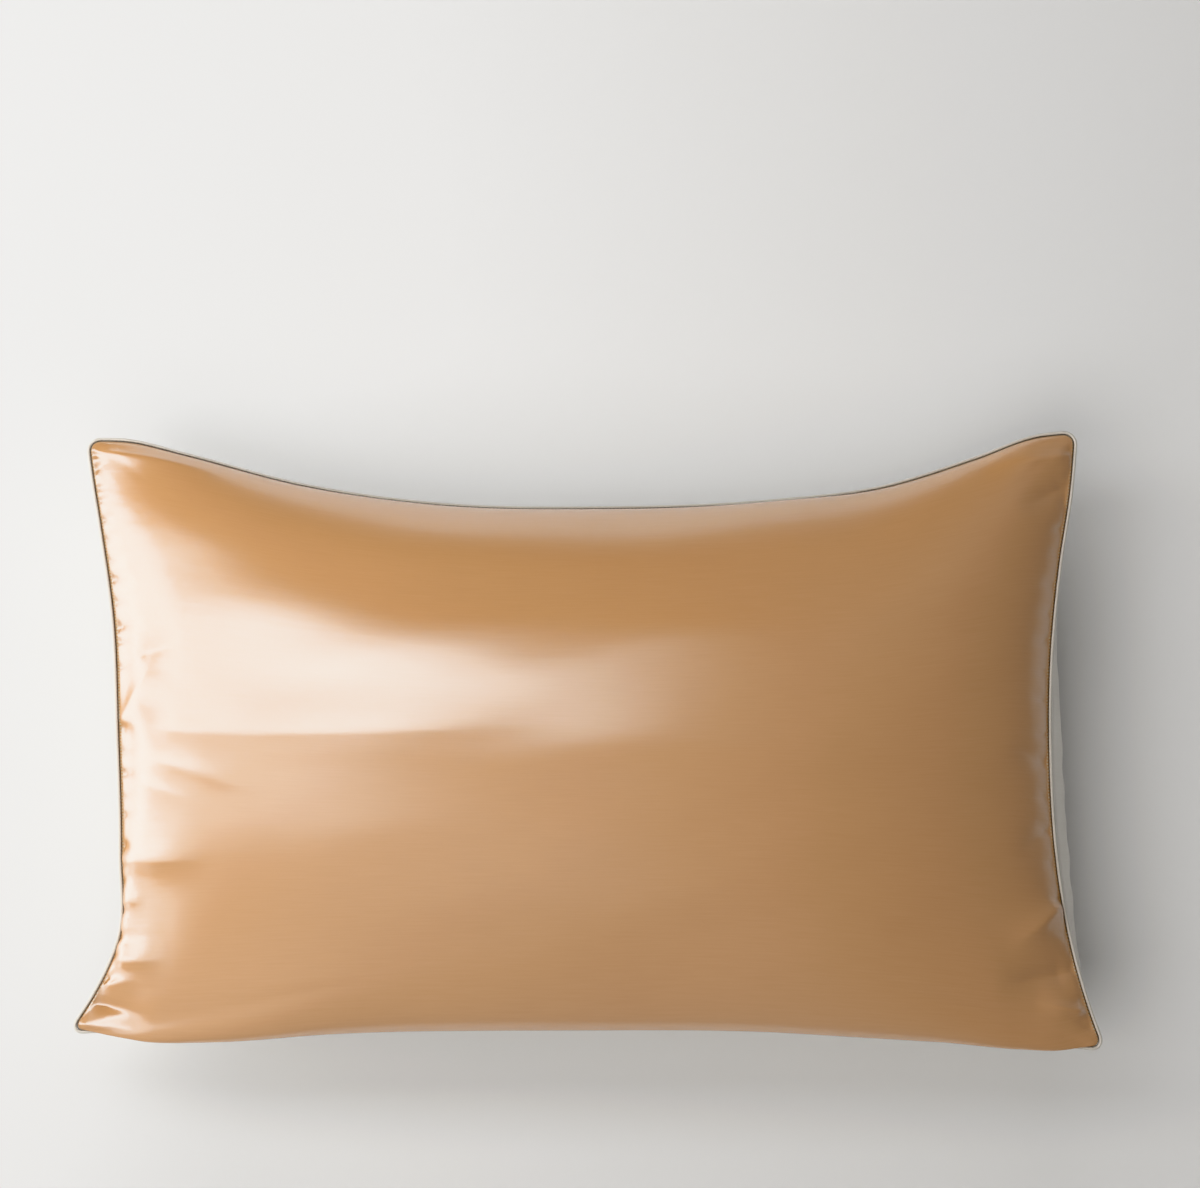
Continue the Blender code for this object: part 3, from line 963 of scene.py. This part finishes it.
def close_underside(panel):
    """Draws the rim down inside the back panel ring by ring, and closes it in the middle."""
    u, v = read_cloth_map(panel)
    places = {tuple(np.round(p, 6)): i for i, p in enumerate(read_points(panel))}
    select_only(panel)
    bpy.ops.object.mode_set(mode="EDIT")
    bpy.ops.mesh.select_mode(type="EDGE")
    bpy.ops.mesh.select_all(action="DESELECT")
    bpy.ops.mesh.select_non_manifold()
    for share in UNDERSIDE_RINGS:
        bpy.ops.mesh.extrude_region()
        bpy.ops.object.mode_set(mode="OBJECT")
        points = read_points(panel)
        new = np.arange(len(u), len(points))
        rim = np.array([places[tuple(np.round(points[i], 6))] for i in new])
        u = np.concatenate([u, u[rim]])
        v = np.concatenate([v, v[rim]])
        largest = np.maximum(np.abs(u[new]), np.abs(v[new]))
        points[new] = inner_back_points(u[new] / largest * share, v[new] / largest * share)
        write_points(panel, points)
        points = read_points(panel)
        places = {tuple(np.round(points[i], 6)): int(i) for i in new}
        u[new] = u[new] / largest * share
        v[new] = v[new] / largest * share
        bpy.ops.object.mode_set(mode="EDIT")
    bpy.ops.mesh.edge_face_add()
    bpy.ops.mesh.select_all(action="SELECT")
    bpy.ops.mesh.normals_make_consistent(inside=False)
    bpy.ops.object.mode_set(mode="OBJECT")
    write_cloth_map(panel, u, v)


def build_front():
    panel, u, v = add_panel("gold_front", FRONT_CELLS)
    u, v = spread(u, FRONT_EVEN[0]), spread(v, FRONT_EVEN[1])
    write_cloth_map(panel, u, v)
    start = front_points(u, v)
    write_points(panel, start)
    normals = vertex_normals(panel)
    seeds = gather_height(u, v) * np.clip(seam_distance(u, v) / SEAM_RISE, 0, 1)
    simulate_front(panel, u, v, start + normals * seeds[:, None] * GATHER_START)
    subdivide = panel.modifiers.new("finer", "SUBSURF")
    subdivide.levels = subdivide.render_levels = 1
    apply_modifiers(panel)
    u, v = read_cloth_map(panel)
    points = settle_ends(read_points(panel), u, v)
    write_points(panel, points)
    free = soft_step(seam_distance(u, v), 0.0004, SEAM_RISE)
    raised = (fold_height(points) + gather_height(u, v) + ripple_height(u, v)) * free
    write_points(panel, points + vertex_normals(panel) * raised[:, None])
    close_underside(panel)
    panel.data.shade_smooth()
    panel.data.materials.append(gold_satin)
    return panel


def build_back():
    panel, u, v = add_panel("light_back", BACK_CELLS)
    u, v = spread(u, BACK_EVEN[0]), spread(v, BACK_EVEN[1])
    write_cloth_map(panel, u, v)
    points = back_points(u, v)
    write_points(panel, points)
    panel.data.flip_normals()
    resting = soft_step(points[:, 2], 0.0015, 0.02)
    write_points(panel, points + vertex_normals(panel) * (back_height(u, v) * resting)[:, None])
    panel.data.shade_smooth()
    thickness = panel.modifiers.new("cloth", "SOLIDIFY")
    thickness.thickness = BACK_CLOTH
    thickness.offset = -1
    panel.data.materials.append(back_satin)
    apply_modifiers(panel)
    return panel


def build_piping():
    """The covered cord: a grid wrapped round the seam's route, its UV along and around it."""
    u, v = rim_places(SEAM_STEPS)
    route = edge_points(u, v, (-CORD_OUT, 0.0))
    steps = len(route)
    deselect()
    bpy.ops.mesh.primitive_grid_add(x_subdivisions=steps, y_subdivisions=CORD_STEPS, size=2)
    cord = bpy.context.object
    cord.name = "seam_piping"
    places = read_points(cord)
    ahead = np.roll(route, -1, axis=0) - np.roll(route, 1, axis=0)
    lengths = np.linalg.norm(np.roll(route, -1, axis=0) - route, axis=1)
    run = np.concatenate([[0], np.cumsum(lengths)])
    number = np.rint((places[:, 0] + 1) / 2 * steps).astype(int)
    index = number % steps
    turn = places[:, 1] * math.pi
    ahead /= np.linalg.norm(ahead, axis=1, keepdims=True)
    side = np.cross(ahead, (0, 0, 1))
    side /= np.linalg.norm(side, axis=1, keepdims=True)
    up = np.cross(side, ahead)
    wrapped = (
        route[index]
        - CORD_RADIUS * np.cos(turn)[:, None] * side[index]
        + CORD_RADIUS * np.sin(turn)[:, None] * up[index]
    )
    corners = np.empty(len(cord.data.loops), np.int64)
    cord.data.loops.foreach_get("vertex_index", corners)
    flat = np.stack([run[number[corners]], turn[corners] * CORD_RADIUS], axis=1)
    cord.data.uv_layers.active.data.foreach_set("uv", flat.astype(np.float32).ravel())
    write_points(cord, wrapped)
    select_only(cord)
    bpy.ops.object.mode_set(mode="EDIT")
    bpy.ops.mesh.select_all(action="SELECT")
    bpy.ops.mesh.remove_doubles(threshold=1e-5)
    bpy.ops.mesh.normals_make_consistent(inside=False)
    bpy.ops.object.mode_set(mode="OBJECT")
    cord.data.shade_smooth()
    cord.data.materials.append(piping_satin)
    return cord


set_place_in_frame()
pieces = {"front": build_front(), "back": build_back(), "piping": build_piping()}

for piece in pieces.values():
    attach(piece, "root")
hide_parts("filled_front")
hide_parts("back_panel")
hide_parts("piping")


# ---------------------------------------------------------------- floor and light
deselect()
bpy.ops.mesh.primitive_plane_add(size=FLOOR_SIZE, location=(0, 0, 0))
floor = bpy.context.object
floor.name = "floor"
floor.data.materials.append(floor_paint)


ROOM_STRENGTH = 0.36
ROOM_COLOUR = (1.0, 0.98, 0.95)
DARK_SIDE = (-0.34, 0.73, 0.59)
FAR_SIDE = (0.88, -0.26, 0.40)

WINDOW_COLOUR = (0.985, 0.995, 1.01)
DOWN, UP, RIGHT = (0, 0, -1), (0, 0, 1), (1, 0, 0)
LENGTHWAYS, CROSSWAYS = (1, 0, 0), (0, 1, 0)

# Soft panels of a window on the left, and what the floor throws back from them.
# Columns: name, place, facing, run, size, brightness, fade.
WINDOW_LIGHTS = [
    ("window", (-0.95, 0.445, 1.30), DOWN, LENGTHWAYS, (2.7, 0.60), 4.5, (0.001, 0.46, 0.12)),
    ("window_low", (-1.25, -0.15, 1.30), DOWN, LENGTHWAYS, (2.1, 0.52), 1.25, (0.001, 0.5, 0.35)),
    ("window_side", (-2.30, 0.33, 0.65), RIGHT, CROSSWAYS, (0.66, 1.30), 4.8, (0.1, 0.1, 0.001)),
    ("side_low", (-2.30, -0.32, 0.65), RIGHT, CROSSWAYS, (0.66, 1.30), 1.7, (0.5, 0.1, 0.001)),
    ("reflector", (-1.38, 0.26, 0.012), UP, LENGTHWAYS, (1.84, 0.86), 4.8, (0.001, 0.001, 0.12)),
    ("reflector_low", (-1.38, -0.32, 0.012), UP, LENGTHWAYS, (1.84, 0.40), 1.8, (0.001, 0.001, 0.3)),
]
# Broad lights that the satin doesn't mirror. Columns: the same, with a colour for the fade.
FILL_LIGHTS = [
    ("fill", (-0.7, -0.9, 1.9), (0.3, 0.45, -1), LENGTHWAYS, (2.0, 1.4), 2.8, (1.0, 0.975, 0.955)),
    ("fill_high", (-0.4, 1.7, 1.3), (0.1, -1, -0.75), LENGTHWAYS, (2.2, 1.0), 2.0, (1.0, 0.98, 0.97)),
]


def add_light(name, place, facing, run, size, brightness, colour, fade=None):
    """A soft rectangle of light, its first side along run, that the camera doesn't see.

    Its brightness is the same whatever its size. Fade gives the share of the first side over
    which it dims at its start, then at its end, and the share at each end of the other side.
    """
    data = bpy.data.lights.new(name, "AREA")
    data.shape = "RECTANGLE"
    data.size, data.size_y = size
    data.energy = brightness * math.pi * size[0] * size[1]
    data.color = colour
    light = bpy.data.objects.new(name, data)
    scene.collection.objects.link(light)
    light.visible_camera = False
    back = -Vector(facing).normalized()
    along = Vector(run) - back * Vector(run).dot(back)
    along.normalize()
    light.location = place
    light.rotation_mode = "QUATERNION"
    axes = Matrix((along, back.cross(along), back)).transposed()
    light.rotation_quaternion = axes.to_quaternion()
    if fade:
        data.use_nodes = True
        wire = Wiring(data.node_tree)
        position = wire.nodes.new("ShaderNodeNewGeometry").outputs["Parametric"]
        along_share, across_share = wire.parts(position)
        start, end, side = fade
        level = wire.ranged(along_share, 0.0, start)
        level = wire.math("MULTIPLY", level, wire.ranged(along_share, 1.0, 1.0 - end))
        level = wire.math("MULTIPLY", level, wire.ranged(across_share, 0.0, side))
        level = wire.math("MULTIPLY", level, wire.ranged(across_share, 1.0, 1.0 - side))
        wire.feed(wire.nodes["Emission"].inputs["Strength"], level)
    return light


def share_towards(wire, side):
    """How nearly a direction in the room is that of the side: 1 straight at it, 0 square to it."""
    towards = wire.nodes.new("ShaderNodeVectorMath")
    towards.operation = "DOT_PRODUCT"
    direction = wire.nodes.new("ShaderNodeTexCoord").outputs["Generated"]
    wire.feed(towards.inputs[0], direction)
    towards.inputs[1].default_value = side
    return towards.outputs["Value"]


def build_room():
    """Even pale surroundings, dark on the high side above the window, dimmer on the far side."""
    world = bpy.data.worlds.new("room")
    scene.world = world
    world.use_nodes = True
    wire = Wiring(world.node_tree)
    background = wire.nodes["Background"]
    background.inputs["Color"].default_value = (*ROOM_COLOUR, 1)
    above = wire.ranged(share_towards(wire, DARK_SIDE), 0.55, 0.97, ROOM_STRENGTH, 0.05)
    beyond = wire.ranged(share_towards(wire, FAR_SIDE), 0.2, 0.95, 1.0, 0.56)
    wire.feed(background.inputs["Strength"], wire.math("MULTIPLY", above, beyond))


for name, place, facing, run, size, brightness, fade in WINDOW_LIGHTS:
    add_light(name, place, facing, run, size, brightness, WINDOW_COLOUR, fade)
for name, place, facing, run, size, brightness, colour in FILL_LIGHTS:
    add_light(name, place, facing, run, size, brightness, colour).visible_glossy = False
build_room()
scene.view_settings.view_transform = "Khronos PBR Neutral"
